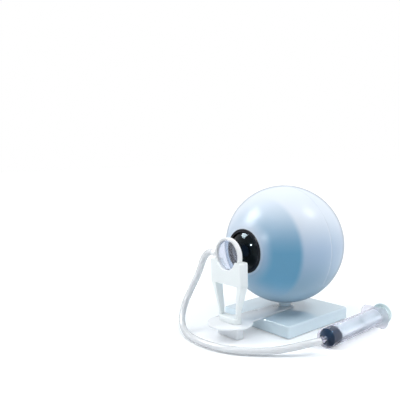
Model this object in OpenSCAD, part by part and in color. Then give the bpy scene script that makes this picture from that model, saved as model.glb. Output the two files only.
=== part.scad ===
// Working model of the eye for teaching optics: a hollow two-part ball with iris and cornea turns on a stem,
// and a water-filled lens stands before it in a fork, filled and emptied through a tube by a 5 ml syringe.
// Millimetres. +Z is up, the eye looks along -Y, X = 0 is the plane of the optical axis.
// The origin is on the table, under the centre of the ball.

/* [View] */
// Sub-part to draw

/* [Base block] */
// Width across the block
block_w = 75; // [60:0.5:100]
// Depth from front to back
block_d = 75; // [60:0.5:100]
// Height of the block
block_h = 10; // [8:0.5:16]
// Radius of its rounded edges
block_round = 1.2; // [0.5:0.1:3]
// Thickness of its side walls
block_wall = 2.4; // [1.6:0.2:4]
// Thickness of its top
block_top = 2.6; // [2:0.2:4]
// Thickness of the ribs beneath the top
rib_t = 1.4; // [1:0.2:3]
// Radius of the boss that holds the stem
boss_r = 9; // [7:0.5:14]
// Space between the table and the ribs and boss
rib_lift = 0.6; // [0.3:0.1:2]
// Thickness of the ledge in the boss that the screw's head bears on
ledge_t = 1.6; // [1:0.1:3]

/* [Arm] */
// Thickness of the arm
arm_t = 1.5; // [1:0.1:3]
// Radius of the round eye about the stem
arm_eye_r = 7.5; // [6:0.5:12]
// Half-width of the arm where it meets the disc
arm_end_half = 10.6; // [8:0.2:15]
// Radius of the disc under the lens
disc_r = 18.2; // [15:0.2:25]
// Distance of the disc's centre and the lens's middle from the front of the ball
lens_gap = 14; // [12:0.5:25]
// Width of the foot under the disc
foot_w = 23; // [18:0.5:30]
// Depth of the foot, from front to back
foot_d = 7.4; // [6:0.2:10]

/* [Lens holder] */
// Depth of the holder's base and cradle, from front to back
holder_d = 8; // [7:0.5:10]
// Depth of the legs where they leave the base
leg_foot_d = 3.6; // [3:0.2:8]
// Width of the base
holder_base_w = 22; // [18:0.5:30]
// Height of the base
holder_base_h = 4.5; // [3:0.5:8]
// Width of the cradle
cradle_w = 34; // [31:0.5:40]
// Distance from the lens's centre down to where the legs join under the cradle
window_drop = 22.5; // [20:0.5:28]
// Distance from the lens's centre down to the prong tips
prong_drop = 3.9; // [2:0.1:8]
// Radius of the opening between the cheeks of the cradle
cheek_r = 11.5; // [10:0.25:12.5]
// Width of the tang in the arm's foot
tang_w = 16; // [10:0.5:18]
// Depth of the tang, from front to back
tang_d = 4; // [3:0.2:5]
// Length of the tang below the base
tang_l = 7; // [4:0.5:8]

/* [Water lens] */
// Distance of the lens's centre below the ball's
lens_drop = 1; // [0:0.1:4]
// Outer radius of the lens
lens_r = 14; // [12:0.5:16]
// Thickness of the lens at its rim
lens_t = 4; // [3:0.2:5]
// Radius of the clear opening
lens_open_r = 12; // [8:0.5:12.5]
// Radius of the seat for membrane and clamp ring
lens_seat_r = 13.2; // [10:0.2:13.4]
// Size of the chamfer on the rim's edges
rim_chamfer = 0.4; // [0.2:0.1:0.8]
// Half-thickness of the ring between its two seats
lens_web_half = 0.9; // [0.6:0.1:1.4]
// Thickness of each membrane
membrane_t = 0.3; // [0.2:0.05:0.6]
// Height of each membrane's dome with the plunger pushed in
dome_h = 2.4; // [0.5:0.1:4]
// Radius of the lens's nipple
nipple_r = 2.6; // [2:0.1:3]
// Distance of the nipple's end from the optical axis
nipple_end = 19; // [16:0.5:24]
// Radius of the water way through the nipple
water_way_r = 0.75; // [0.5:0.05:1]

/* [Tube] */
// Radius of the tube
tube_r = 2.6; // [2:0.1:3]
// Number of sides of the tube
tube_sides = 12; // [8:1:12]

/* [Syringe] */
// Outer radius of the barrel
barrel_r = 7.1; // [6:0.1:9]
// Inner radius of the barrel
bore_r = 6.3; // [5:0.1:8]
// Length of the barrel from its front to the flange's rear face
barrel_l = 70; // [60:1:90]
// Distance of the syringe's axis from the ball's, at its front end
syringe_x = 68.6; // [64:0.2:80]
// Position of the barrel's front end from front to back
syringe_y = -34; // [-45:1:-10]
// Angle of the syringe to the optical axis
syringe_yaw = 3; // [0:0.5:10]
// Half-length of the finger flange
flange_half_l = 12; // [10:0.5:16]
// Radius of the finger flange's middle and of the thumb plate, on which the syringe lies
rest_r = 8.3; // [7.6:0.1:10]
// Thickness of the finger flange
flange_t = 1.6; // [1:0.1:3]
// Length of the nozzle
nozzle_l = 6; // [4:0.5:12]
// Thickness of the barrel's front wall
front_t = 1.2; // [0.8:0.1:2]
// Length of the cone inside the front wall
cone_l = 2.2; // [1.5:0.1:4]
// Length of the rod from its nose to the thumb plate's outer face
rod_l = 82; // [60:1:95]
// Distance of the rod's nose, inside the seal, from the barrel's front
rod_nose = 7; // [6:0.5:10]
// Length of the rod's nose
nose_l = 6; // [4:0.5:8]
// Radius of the rod's nose
nose_r = 3; // [2:0.1:4]
// Height of the seal's ribs above its body
seal_rib_h = 0.6; // [0.3:0.1:1]
// Thickness of the rod's cross ribs
rod_rib_t = 1.3; // [1:0.1:2]
// Travel of the plunger
plunger_travel = 45; // [20:1:55]

/* [Ball] */
// Outer radius of the ball
ball_r = 50; // [40:1:60]
// Space between the arm and the ball
ball_clear = 4; // [2:0.5:10]
// Thickness of the ball's wall
shell_t = 2.2; // [1.6:0.1:3]
// Size of the chamfer along the joint of the two halves
seam_chamfer = 0.5; // [0.2:0.1:1]
// Length of the lip that the rear half slips over
lip_l = 3; // [2:0.5:6]
// Thickness of the lip
lip_t = 1.3; // [1:0.1:2]
// Radius of the boss inside the ball that the spigot goes into
bearing_r = 6.5; // [6:0.25:9]
// Height of the stem's shoulder, which the ball rests on, above the ball's underside
seat_in = 3.5; // [3:0.25:6]
// Height of the spigot above the shoulder
spigot_h = 10; // [6:0.5:16]

/* [Stem] */
// Radius of the stem
stem_r = 5; // [4.5:0.1:6]
// Radius of the spigot and of the peg
spigot_r = 4; // [3:0.1:4.5]
// Length of the peg below the arm
peg_l = 6.5; // [4:0.5:8]
// Radius of the screw's shank
screw_r = 1.5; // [1.25:0.25:2]
// Radius of the screw's head
screw_head_r = 3; // [2.5:0.1:4]
// Height of the screw's head
screw_head_h = 2; // [1.5:0.1:3]
// Length of the screw's shank
screw_l = 10; // [6:0.5:14]

/* [Iris and cornea] */
// Outer radius of the bezel
bezel_r = 17.9; // [15:0.2:20]
// Radius of the ball's opening
opening_r = 16.2; // [13:0.1:16.5]
// Height of the bezel's face above the edge of the ball's opening
bezel_proud = 1.1; // [0.6:0.1:3]
// Depth of the bezel behind its face
bezel_depth = 5.5; // [4.5:0.1:8]
// Distance of the iris disc's seat behind the bezel's face
iris_depth = 2.9; // [2:0.1:4]
// Radius of the bezel's bore
bezel_bore_r = 13; // [10:0.2:13.5]
// Radius of the iris disc
iris_r = 14.8; // [12:0.1:15]
// Thickness of the iris disc
iris_t = 1; // [0.6:0.1:2]
// Radius of the pupil
pupil_r = 4.5; // [2:0.25:8]
// Radius of the cornea's flange
cornea_r = 15.5; // [13:0.1:15.6]
// Thickness of the cornea
cornea_t = 1; // [0.6:0.1:1.5]
// Height of the cornea's top above the bezel's face
cornea_rise = 4.2; // [2:0.1:8]
// Thickness of the cornea's flange
cornea_flange_t = 1; // [0.6:0.1:1.5]
// Outer radius of the cornea's curve
cornea_curve_r = 24.5; // [20:0.1:30]

/* [Inner lens] */
// Distance of the joint between cap and band, and of the plate's rear face, from the ball's centre
plate_at = 23.8; // [18:0.2:28]
// Thickness of the plate
plate_t = 1.6; // [1:0.1:2]
// Width of the plate's rim that the end of the band holds
plate_hold = 0.45; // [0.2:0.05:0.8]
// Radius of the hole in the plate
plate_hole_r = 14; // [10:0.5:16]
// Radius of the inner lens
inner_lens_r = 15; // [12:0.5:18]
// Thickness of the inner lens at its edge
inner_edge_t = 2; // [1:0.2:4]
// Height of each of its domes
inner_dome_h = 3.5; // [2:0.1:6]
// Radius of its domes at the edge
inner_dome_r = 13.6; // [10:0.2:15]
// Outer radius of the retaining ring
retainer_r = 18; // [16:0.5:22]

/* [Fits] */
// Radial clearance of parts that slide or turn on each other
fit_run = 0.05; // [0.02:0.01:0.1]
// Clearance between parts that are fixed together
fit_fix = 0.03; // [0.02:0.01:0.1]
// Free space round the stem where it enters the ball
fit_free = 0.2; // [0.1:0.05:0.5]
// Space between the lip and the rear half
fit_lip = 0.3; // [0.2:0.05:0.5]
// Play between the screw's head and the ledge, and the groove's play on each side of the lens
fit_play = 0.1; // [0.05:0.05:0.3]
// Radial clearance of the screw in the block
fit_screw = 0.2; // [0.1:0.05:0.5]

/* [Hidden] */
$fn = 96;
eps = 0.01;

arm_top_z = block_h + arm_t;
ball_low_z = arm_top_z + ball_clear;
ball_z = ball_low_z + ball_r;
seat_z = ball_low_z + seat_in;
shell_in_r = ball_r - shell_t;
reach = ball_r + lens_gap;
lens_z = ball_z - lens_drop;
window_top_z = lens_z - window_drop;
prong_top_z = lens_z - prong_drop;
bezel_face = sqrt(ball_r * ball_r - opening_r * opening_r) + bezel_proud;
iris_at = bezel_face - iris_depth;
cornea_at = iris_at + iris_t;
plate_rim_r = sqrt(shell_in_r * shell_in_r - plate_at * plate_at) + plate_hold;
peg_end_z = block_h + arm_t - peg_l;
recess_top_z = peg_end_z - ledge_t;
screw_head_z = recess_top_z - fit_play;
tang_z = arm_top_z - tang_l;
holder_base_top_z = arm_top_z + holder_base_h;
groove_half = lens_t / 2 + fit_play;
// Radius of the sphere that a dome of height h stands on with edge radius r
function dome_radius(r, h) = (r * r + h * h) / (2 * h);
// The syringe lies on its flange and thumb plate
syringe_z = rest_r;
syringe_end = [syringe_x + nozzle_l * sin(syringe_yaw), syringe_y - nozzle_l * cos(syringe_yaw), syringe_z];

// The tube's centre line. Its first part hangs from the nipple: each point is given sideways and forward of
// the nipple's end and as a share of the lens's height. The second part lies on the table and comes up to the
// nozzle: each point is given from a place between nipple (0) and nozzle (1), with its height over the table.
hang = [[-3.5, 0, 0.9953], [-7, 0, 0.9721], [-10, -0.5, 0.9271], [-12, -1.3, 0.8605], [-13.5, -2.3, 0.7829],
    [-15.5, -4, 0.6822], [-18.5, -6.2, 0.5659], [-21, -9, 0.4496], [-22, -13, 0.3256], [-20.5, -17, 0.2171],
    [-16.5, -21, 0.1318], [-10, -24.5, 0.0744]];
lie = [[-10.3, -29.9, 0.1, 0.3], [-13, -35.5, 0.25, 0], [-14.2, -39.6, 0.4, 0], [-15.4, -41.7, 0.55, 0],
    [-17, -41.3, 0.7, 0], [-19.7, -38.4, 0.85, 0], [-23.9, -34, 1, 0.2], [-16.9, -26.5, 1, 1.1],
    [-10.9, -20, 1, 2.6], [-5.9, -13.8, 1, 4.2], [-2.2, -7, 1, 5.3]];
tube_start = [-nipple_end, -reach, lens_z];
function between(t) = (1 - t) * tube_start + t * syringe_end;
tube_line = concat(
    [tube_start],
    [for (p = hang) [tube_start[0] + p[0], tube_start[1] + p[1], p[2] * lens_z]],
    [for (p = lie) [between(p[2])[0] + p[0], between(p[2])[1] + p[1], tube_r + fit_play + p[3]]],
    [syringe_end]);
tube_sense = [-0.6, 0.6, -0.5];

function unit(v) = v / norm(v);
function tube_dir(i) =
    i == 0 ? [-1, 0, 0] :
    i == len(tube_line) - 1 ? [-sin(syringe_yaw), cos(syringe_yaw), 0] :
    unit(tube_line[i + 1] - tube_line[i - 1]);
function ring_points(i) =
    let (d = tube_dir(i), n = unit(cross(d, tube_sense)), b = cross(d, n))
    [for (k = [0 : tube_sides - 1])
        let (a = 360 * k / tube_sides) tube_line[i] + tube_r * (cos(a) * n + sin(a) * b)];
function side_faces(i) =
    [for (k = [0 : tube_sides - 1], f = [0, 1])
        let (m = (k + 1) % tube_sides, p = i * tube_sides, q = p + tube_sides)
        f == 0 ? [p + k, p + m, q + m] : [p + k, q + m, q + k]];

// A rectangle about the origin with round corners
module round_rect(w, d, r) {
    square([w - 2 * r, d], center = true);
    square([w, d - 2 * r], center = true);
    for (x = [-1, 1], y = [-1, 1])
        translate([x * (w / 2 - r), y * (d / 2 - r)]) circle(r);
}

// A cylinder along the optical axis, between two distances in front of the ball's centre
module on_axis(r, from, to) {
    translate([0, -from, ball_z]) rotate([90, 0, 0]) cylinder(r = r, h = to - from);
}

// A cone along the optical axis, with its radii at the two distances
module on_axis_cone(r_from, r_to, from, to) {
    translate([0, -from, ball_z]) rotate([90, 0, 0]) cylinder(r1 = r_from, r2 = r_to, h = to - from);
}

// A ball on the optical axis, at a distance in front of the ball's centre
module ball_at(r, at) {
    translate([0, -at, ball_z]) sphere(r, $fn = 108);
}

// A slab across the optical axis, between two distances
module slab(from, to, w = 110) {
    translate([-w / 2, -to, ball_z - w / 2]) cube([w, to - from, w]);
}

// A disc in the water lens, u = distance from its middle plane towards the front
module lens_disc(r, from, to) {
    translate([0, -reach - from, lens_z]) rotate([90, 0, 0]) cylinder(r = r, h = to - from);
}

module base_block() {
    in_w = block_w - 2 * block_wall;
    in_d = block_d - 2 * block_wall;
    in_h = block_h - block_top;
    color("whitesmoke") difference() {
        union() {
            difference() {
                intersection() {
                    linear_extrude(block_h) round_rect(block_w, block_d, 2 * block_round);
                    translate([0, block_d / 2, block_h / 2]) rotate([90, 0, 0])
                        linear_extrude(block_d) round_rect(block_w, block_h, block_round);
                    translate([-block_w / 2, 0, block_h / 2]) rotate([90, 0, 90])
                        linear_extrude(block_w) round_rect(block_d, block_h, block_round);
                }
                translate([0, 0, -eps]) linear_extrude(in_h + eps) round_rect(in_w, in_d, block_round);
            }
            for (a = [0, 90])
                rotate([0, 0, a]) translate([0, 0, rib_lift + in_h / 2])
                    cube([in_w + 1, rib_t, in_h], center = true);
            translate([0, 0, rib_lift]) cylinder(r = boss_r, h = in_h);
        }
        translate([0, 0, peg_end_z - fit_fix]) cylinder(r = spigot_r + fit_run, h = block_h);
        translate([0, 0, -1]) cylinder(r = screw_r + fit_screw, h = block_h);
        translate([0, 0, -1]) cylinder(r = screw_head_r + fit_screw + fit_play, h = 1 + recess_top_z);
    }
}

module arm() {
    side_y = -reach + disc_r * 0.78;
    color("white") difference() {
        union() {
            translate([0, 0, block_h]) linear_extrude(arm_t) {
                circle(arm_eye_r);
                polygon([[-arm_eye_r, -0.6], [arm_eye_r, -0.6], [arm_end_half, side_y],
                    [arm_end_half, -reach], [-arm_end_half, -reach], [-arm_end_half, side_y]]);
                translate([0, -reach]) circle(disc_r);
            }
            translate([0, -reach, 0]) linear_extrude(block_h + eps) round_rect(foot_w, foot_d, 1);
        }
        translate([0, 0, block_h - 1]) cylinder(r = spigot_r + fit_run, h = arm_t + 2);
        translate([0, -reach, tang_z - fit_fix]) linear_extrude(tang_l + 1)
            round_rect(tang_w + 2 * fit_fix, tang_d + 2 * fit_fix, 0.5);
    }
}

module stem() {
    color("white") difference() {
        union() {
            translate([0, 0, peg_end_z]) cylinder(r = spigot_r, h = peg_l + 1);
            translate([0, 0, arm_top_z]) cylinder(r = stem_r, h = seat_z - arm_top_z);
            translate([0, 0, seat_z - 1]) cylinder(r = spigot_r, h = spigot_h);
            translate([0, 0, seat_z + spigot_h - 1])
                cylinder(r1 = spigot_r, r2 = spigot_r - 0.8, h = 0.8);
        }
        translate([0, 0, peg_end_z - 1]) cylinder(r = screw_r + fit_fix, h = screw_l + 1);
    }
}

module stem_screw() {
    color("silver") difference() {
        union() {
            translate([0, 0, screw_head_z - screw_head_h]) cylinder(r1 = screw_head_r - 0.5,
                r2 = screw_head_r, h = 0.5);
            translate([0, 0, screw_head_z - screw_head_h + 0.5])
                cylinder(r = screw_head_r, h = screw_head_h - 0.5);
            translate([0, 0, screw_head_z - 0.5]) cylinder(r = screw_r, h = screw_l + 0.5);
        }
        for (a = [0, 90])
            rotate([0, 0, a]) translate([0, 0, screw_head_z - screw_head_h])
                cube([3.4, 0.8, 2.2], center = true);
    }
}

module lens_holder() {
    base_half = holder_base_w / 2;
    cradle_half = cradle_w / 2;
    base_z = holder_base_top_z;
    color("white") difference() {
        union() {
            translate([0, -reach, arm_top_z]) linear_extrude(holder_base_h)
                round_rect(holder_base_w, holder_d, holder_d / 2 - 0.1);
            translate([0, -reach, tang_z]) linear_extrude(tang_l + 1)
                round_rect(tang_w, tang_d, 0.5);
            intersection() {
                translate([0, -reach + holder_d / 2, 0]) rotate([90, 0, 0]) linear_extrude(holder_d)
                    difference() {
                        union() {
                            polygon([[-base_half + 0.3, base_z - 1], [base_half - 0.3, base_z - 1],
                                [base_half + 0.3, base_z + 6], [cradle_half, window_top_z],
                                [cradle_half, prong_top_z - 1.5], [-cradle_half, prong_top_z - 1.5],
                                [-cradle_half, window_top_z], [-base_half - 0.3, base_z + 6]]);
                            translate([-cradle_half, prong_top_z - 4]) square([cradle_w, 2.6]);
                            for (s = [-1, 1])
                                translate([s * (cradle_half - 1.5), prong_top_z - 1.5]) circle(1.5);
                            translate([-cradle_half + 1.5, prong_top_z - 3]) square([cradle_w - 3, 3]);
                        }
                        polygon([[-8.3, base_z], [8.3, base_z], [8.9, base_z + 6], [12.5, window_top_z],
                            [-12.5, window_top_z], [-8.9, base_z + 6]]);
                    }
                translate([-cradle_half, -reach, 0]) rotate([90, 0, 90]) linear_extrude(cradle_w)
                    polygon([[-leg_foot_d / 2, base_z - 1], [leg_foot_d / 2, base_z - 1],
                        [leg_foot_d / 2, base_z + 1], [holder_d / 2, window_top_z],
                        [holder_d / 2, prong_top_z], [-holder_d / 2, prong_top_z],
                        [-holder_d / 2, window_top_z], [-leg_foot_d / 2, base_z + 1]]);
            }
        }
        lens_disc(cheek_r, -holder_d, holder_d);
        lens_disc(lens_r + fit_run, -groove_half, groove_half);
    }
}

module lens_body_ring() {
    half = lens_t / 2;
    color("white") difference() {
        union() {
            difference() {
                union() {
                    lens_disc(lens_r, rim_chamfer - half, half - rim_chamfer);
                    for (m = [0, 1])
                        translate([0, -reach, lens_z]) mirror([0, m, 0]) translate([0, half, 0])
                            rotate([90, 0, 0])
                                cylinder(r1 = lens_r - rim_chamfer, r2 = lens_r, h = rim_chamfer);
                }
                lens_disc(lens_seat_r, lens_web_half, half + 1);
                lens_disc(lens_seat_r, -half - 1, -lens_web_half);
            }
            translate([-nipple_end, -reach, lens_z]) rotate([0, 90, 0])
                cylinder(r = nipple_r, h = nipple_end - lens_r - rim_chamfer);
            intersection() {
                translate([-nipple_end, -reach, lens_z]) rotate([0, 90, 0])
                    cylinder(r = nipple_r, h = nipple_end - lens_open_r);
                lens_disc(lens_r + 1, -lens_web_half, lens_web_half);
            }
            intersection() {
                translate([-lens_r - 1, -reach, lens_z]) rotate([0, 90, 0])
                    cylinder(r = nipple_r, h = 1 + (lens_r - lens_seat_r) / 2);
                lens_disc(lens_r + 2, rim_chamfer - half, half - rim_chamfer);
            }
        }
        lens_disc(lens_open_r, -half - 1, half + 1);
        translate([-nipple_end - 1, -reach, lens_z]) rotate([0, 90, 0])
            cylinder(r = water_way_r, h = nipple_end - lens_open_r + 2);
    }
}

module front_clamp_ring() { clamp_ring(0); }

module rear_clamp_ring() { clamp_ring(1); }

// The ring that holds one membrane in its seat
module clamp_ring(side) {
    color("white") translate([0, -reach, lens_z]) mirror([0, side, 0]) rotate([90, 0, 0]) difference() {
        union() {
            translate([0, 0, lens_web_half + membrane_t])
                cylinder(r = lens_seat_r - fit_fix, h = lens_t / 2 - lens_web_half - membrane_t - 0.2);
            translate([0, 0, lens_t / 2 - 0.2])
                cylinder(r1 = lens_seat_r - fit_fix, r2 = lens_seat_r - fit_fix - 0.2, h = 0.2);
        }
        cylinder(r = lens_open_r + 0.2, h = lens_t);
    }
}

module front_membrane() { membrane(0); }

module rear_membrane() { membrane(1); }

// A membrane with its flat edge in the seat and its dome outwards
module membrane(side) {
    r = dome_radius(lens_open_r, dome_h);
    top = lens_web_half + membrane_t + dome_h;
    color("lightcyan") translate([0, -reach, lens_z]) mirror([0, side, 0]) rotate([90, 0, 0]) union() {
        difference() {
            translate([0, 0, lens_web_half]) cylinder(r = lens_seat_r - fit_fix, h = membrane_t);
            translate([0, 0, lens_web_half - 1]) cylinder(r = lens_open_r - 0.3, h = 3);
        }
        difference() {
            intersection() {
                translate([0, 0, top - r]) sphere(r, $fn = 108);
                translate([0, 0, lens_web_half]) cylinder(r = lens_open_r - eps, h = lens_t);
            }
            translate([0, 0, top - r]) sphere(r - membrane_t, $fn = 108);
        }
    }
}

module lens_water() {
    r = dome_radius(lens_open_r, dome_h);
    at = lens_web_half + membrane_t + dome_h - r;
    color("powderblue") translate([0, -reach, lens_z]) rotate([90, 0, 0]) intersection() {
        translate([0, 0, at]) sphere(r - membrane_t - fit_fix, $fn = 108);
        translate([0, 0, -at]) sphere(r - membrane_t - fit_fix, $fn = 108);
        translate([0, 0, -lens_t]) cylinder(r = lens_open_r - 0.4, h = 2 * lens_t);
    }
}

module tube() {
    n = len(tube_line);
    color("gainsboro") polyhedron(
        points = [for (i = [0 : n - 1]) each ring_points(i)],
        faces = concat(
            [[for (k = [tube_sides - 1 : -1 : 0]) k]],
            [for (i = [0 : n - 2]) each side_faces(i)],
            [[for (k = [0 : tube_sides - 1]) (n - 1) * tube_sides + k]]),
        convexity = 10);
}

// Places children with their Z axis along the syringe, from its front end to the rear
module syringe_frame() {
    translate([syringe_x, syringe_y, syringe_z]) rotate([0, 0, syringe_yaw]) rotate([-90, 0, 0]) children();
}

module syringe_barrel() {
    color("gainsboro") syringe_frame() difference() {
        union() {
            cylinder(r1 = barrel_r - 0.8, r2 = barrel_r, h = 0.8);
            translate([0, 0, 0.8]) cylinder(r = barrel_r, h = barrel_l - 0.8);
            translate([0, 0, barrel_l - flange_t]) intersection() {
                cylinder(r = flange_half_l, h = flange_t);
                translate([-flange_half_l, -rest_r, 0]) cube([2 * flange_half_l, 2 * rest_r, flange_t]);
            }
            translate([0, 0, -nozzle_l]) cylinder(r1 = 2.3, r2 = 2.6, h = nozzle_l + 0.5);
        }
        translate([0, 0, front_t]) cylinder(r1 = bore_r * 0.35, r2 = bore_r, h = cone_l);
        translate([0, 0, front_t + cone_l - eps]) cylinder(r = bore_r, h = barrel_l);
        translate([0, 0, barrel_l - 0.6]) cylinder(r1 = bore_r, r2 = bore_r + 0.7, h = 0.7);
        translate([0, 0, -nozzle_l - 1]) cylinder(r = 1, h = nozzle_l + 3);
    }
}

module plunger_rod() {
    body = rod_l - rod_nose;
    rib = bore_r - 0.5;
    color("white") syringe_frame() translate([0, 0, rod_nose]) union() {
        cylinder(r = nose_r, h = nose_l);
        translate([0, 0, nose_l]) cylinder(r = rib, h = 1.2);
        for (a = [0, 90])
            rotate([0, 0, a]) translate([-rib, -rod_rib_t / 2, nose_l])
                cube([2 * rib, rod_rib_t, body - nose_l]);
        translate([0, 0, body * 0.53]) cylinder(r = rib, h = 1.2);
        translate([0, 0, body - 3]) cylinder(r1 = 3.2, r2 = 5.5, h = 1.6);
        translate([0, 0, body - 1.6]) cylinder(r = rest_r, h = 1.2);
        translate([0, 0, body - 0.4]) cylinder(r1 = rest_r, r2 = rest_r - 0.4, h = 0.4);
    }
}

module piston_seal() {
    seal_r = bore_r - seal_rib_h;
    rib_r = bore_r - fit_run;
    nose = front_t + fit_run + fit_play;
    cone = cone_l - fit_play;
    length = rod_nose + nose_l - fit_run - nose;
    color("dimgray") syringe_frame() difference() {
        translate([0, 0, nose]) union() {
            cylinder(r1 = seal_r * 0.32, r2 = seal_r, h = cone);
            translate([0, 0, cone]) cylinder(r = seal_r, h = length - cone);
            for (z = [cone + 0.25, length - 2.35])
                translate([0, 0, z]) {
                    cylinder(r1 = seal_r, r2 = rib_r, h = 0.6);
                    translate([0, 0, 0.6]) cylinder(r = rib_r, h = 1);
                    translate([0, 0, 1.6]) cylinder(r1 = rib_r, r2 = seal_r, h = 0.6);
                }
        }
        translate([0, 0, rod_nose - fit_fix]) cylinder(r = nose_r + fit_fix, h = nose_l + 1);
    }
}

// Spins a section about the optical axis. Its X is the radius, its Y the distance in front of the centre
module spun() {
    translate([0, 0, ball_z]) rotate([90, 0, 0]) rotate_extrude($fn = 108) children();
}

// Section of the ball's wall between two distances in front of its centre
module wall_section(from, to) {
    intersection() {
        difference() {
            circle(ball_r, $fn = 108);
            circle(shell_in_r, $fn = 108);
        }
        translate([0, from]) square([ball_r + 1, to - from]);
    }
}

// The hole for the stem, from below the ball up to its seat
module stem_hole() {
    translate([0, 0, ball_low_z - 2]) cylinder(r = stem_r + fit_free, h = seat_in + 2);
}

// The cap: the front of the ball, with the opening and the rebate that the plate lies in
module front_cap() {
    color("whitesmoke") spun() difference() {
        wall_section(plate_at + fit_fix, ball_r);
        square([opening_r, ball_r + 1]);
        square([plate_rim_r + fit_fix, plate_at + plate_t]);
    }
}

// The band: the rest of the front half, with the lip for the rear half and the boss for the stem
module front_band() {
    lip_r = shell_in_r - fit_lip;
    color("whitesmoke") difference() {
        union() {
            spun() {
                difference() {
                    wall_section(0, plate_at);
                    polygon([[ball_r - seam_chamfer, 0], [ball_r + 1, 0], [ball_r + 1, seam_chamfer + 1]]);
                }
                translate([lip_r - lip_t, 0]) square([ball_r - 1.2 - lip_r + lip_t, lip_l]);
                polygon([[lip_r - lip_t, 1], [lip_r - lip_t, -lip_l], [lip_r - 0.5, -lip_l],
                    [lip_r, 0.6 - lip_l], [lip_r, 1]]);
            }
            intersection() {
                ball_at(ball_r - 1, 0);
                union() {
                    translate([-1, 0, 0]) rotate([90, 0, 90]) linear_extrude(2)
                        polygon([[-20.5, ball_low_z], [-20.5, seat_z + 3.5], [1 - bearing_r, seat_z + 8.5],
                            [2 - bearing_r, seat_z + 8.5], [2 - bearing_r, ball_low_z]]);
                    translate([-bearing_r, -bearing_r - 1, ball_low_z])
                        cube([2 * bearing_r, bearing_r + 1, seat_in + 1]);
                }
            }
            translate([0, 0, seat_z]) cylinder(r = bearing_r, h = spigot_h + 2);
        }
        stem_hole();
        translate([0, 0, seat_z - 1]) cylinder(r = spigot_r + fit_fix, h = spigot_h + 1);
    }
}

module rear_shell() {
    color("whitesmoke") difference() {
        spun() difference() {
            wall_section(-ball_r, 0);
            polygon([[ball_r - seam_chamfer, 0], [ball_r + 1, 0], [ball_r + 1, -seam_chamfer - 1]]);
        }
        stem_hole();
    }
}

module iris_bezel() {
    color("black") difference() {
        union() {
            difference() {
                union() {
                    on_axis(bezel_r, bezel_face - 3.4, bezel_face - 0.6);
                    on_axis_cone(bezel_r, bezel_r - 0.6, bezel_face - 0.6, bezel_face);
                }
                ball_at(ball_r + 0.02, 0);
            }
            on_axis(opening_r - fit_fix, bezel_face - bezel_depth, bezel_face);
        }
        on_axis(bezel_bore_r, bezel_face - bezel_depth - 1, bezel_face + 1);
        on_axis(iris_r + fit_fix, iris_at, bezel_face + 1);
        on_axis(cornea_r + fit_fix, cornea_at, bezel_face + 1);
    }
}

module iris_disc() {
    color("black") difference() {
        on_axis(iris_r, iris_at, cornea_at - fit_fix);
        on_axis(pupil_r, iris_at - 1, cornea_at + 1);
    }
}

module cornea() {
    curve_at = bezel_face + cornea_rise - cornea_curve_r;
    color("black", 0.6) difference() {
        union() {
            on_axis(cornea_r, cornea_at, cornea_at + cornea_flange_t);
            intersection() {
                ball_at(cornea_curve_r, curve_at);
                slab(cornea_at + cornea_flange_t - 0.1, cornea_at + cornea_curve_r);
            }
        }
        ball_at(cornea_curve_r - cornea_t, curve_at);
    }
}

module lens_plate() {
    color("white") difference() {
        on_axis(plate_rim_r, plate_at + fit_fix, plate_at + plate_t - fit_fix);
        on_axis(plate_hole_r, 10, 40);
    }
}

module eye_lens() {
    r = dome_radius(inner_dome_r, inner_dome_h);
    front = plate_at;
    rear = front - inner_edge_t;
    color("lightcyan") union() {
        on_axis(inner_lens_r, rear, front);
        intersection() {
            ball_at(r, front + inner_dome_h - r);
            on_axis(inner_dome_r + 0.2, front - 0.1, front + 6);
        }
        intersection() {
            ball_at(r, rear - inner_dome_h + r);
            on_axis(inner_dome_r + 0.2, rear - 6, rear + 0.1);
        }
    }
}

module lens_retainer() {
    rear = plate_at - inner_edge_t - fit_fix;
    color("white") difference() {
        union() {
            on_axis(retainer_r, rear - 0.6, plate_at);
            on_axis_cone(retainer_r - 0.6, retainer_r, rear - 1.2, rear - 0.6);
        }
        on_axis(inner_dome_r + 0.3, rear - 2, plate_at + 1);
        on_axis(inner_lens_r + fit_fix, rear, plate_at + 1);
    }
}

base_block();
arm();
stem();
stem_screw();
lens_holder();
lens_body_ring();
front_clamp_ring();
rear_clamp_ring();
front_membrane();
rear_membrane();
lens_water();
tube();
syringe_barrel();
plunger_rod();
piston_seal();
front_cap();
front_band();
rear_shell();
iris_bezel();
iris_disc();
cornea();
lens_plate();
eye_lens();
lens_retainer();
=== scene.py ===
"""Looks of the eye model with the adjustable water lens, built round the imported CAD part."""

import logging
import math
from dataclasses import dataclass, field
from enum import Enum
from typing import Callable, Iterable, Sequence, Union

import bmesh
import bpy
from mathutils import Matrix, Vector


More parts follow.
